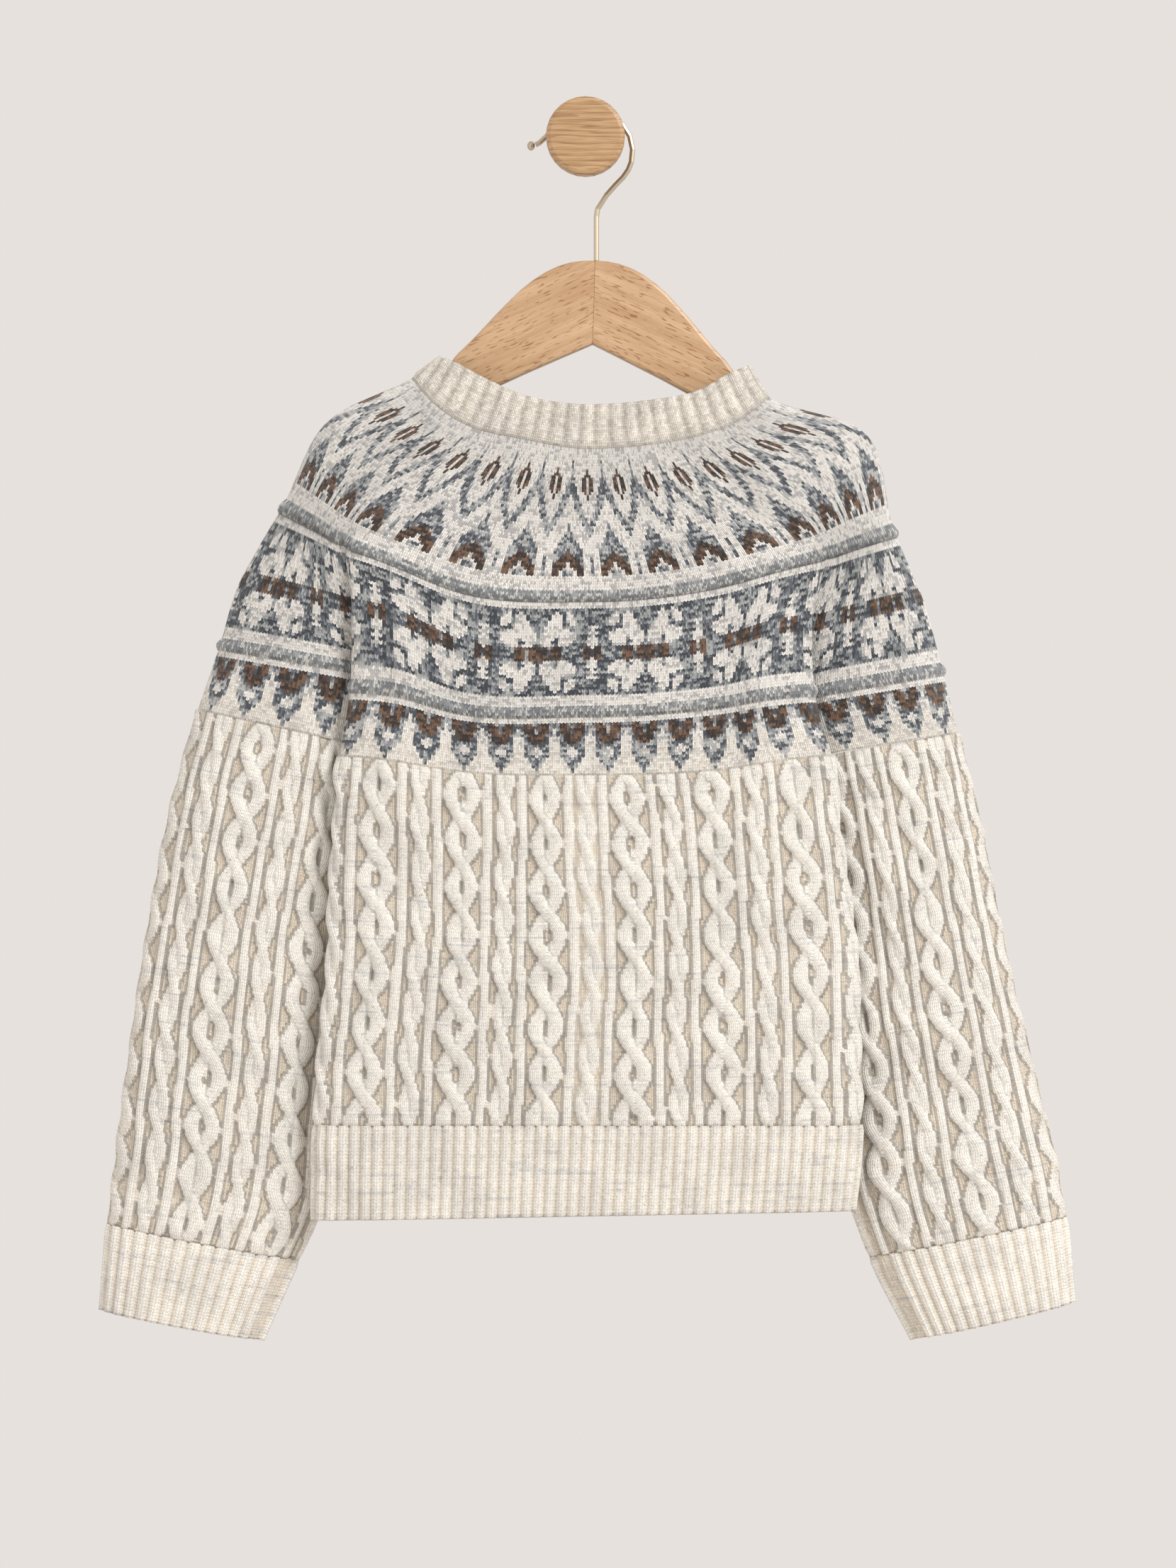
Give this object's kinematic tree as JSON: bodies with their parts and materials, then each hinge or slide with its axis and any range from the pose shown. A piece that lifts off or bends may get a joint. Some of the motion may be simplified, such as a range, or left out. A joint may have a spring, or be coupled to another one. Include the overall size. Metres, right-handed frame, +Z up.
{
  "type": "knitted round-yoke sweater on a wooden hanger and wall peg",
  "caption": "Child's knitted round-yoke sweater with cabled body and sleeves and ribbed edges, on a wooden hanger with a wire hook, hung from a wall peg.",
  "frame": {"origin": "centre of the peg's back face, on the wall", "axes": "+Z up, +Y into the wall, +X to the viewer's right; the sweater's back faces the viewer along -Y"},
  "size_m": [0.58, 0.062, 0.7374],
  "materials": {
    "ivory_rib": "ivory wool, 2 by 2 ribbing",
    "stranded_wool": "stranded colourwork in white, grey and brown wool",
    "cable_knit": "oatmeal heather wool, cable knit",
    "ribbing": "oatmeal heather wool, 1 by 1 ribbing",
    "beech": "satin lacquered beech",
    "nickel_wire": "brushed nickel",
    "pine": "oiled pine"
  },
  "bodies": {
    "root": {"neck_rib": "ivory_rib", "yoke": "stranded_wool", "body_back": "cable_knit", "body_front": "cable_knit", "hem_back": "ribbing", "hem_front": "ribbing", "sleeve_left": "cable_knit", "sleeve_right": "cable_knit", "cuff_left": "ribbing", "cuff_right": "ribbing", "hanger_arm_left": "beech", "hanger_arm_right": "beech", "hanger_hook": "nickel_wire", "hook_tip": "nickel_wire", "wall_peg": "pine"}
  },
  "joints": []
}
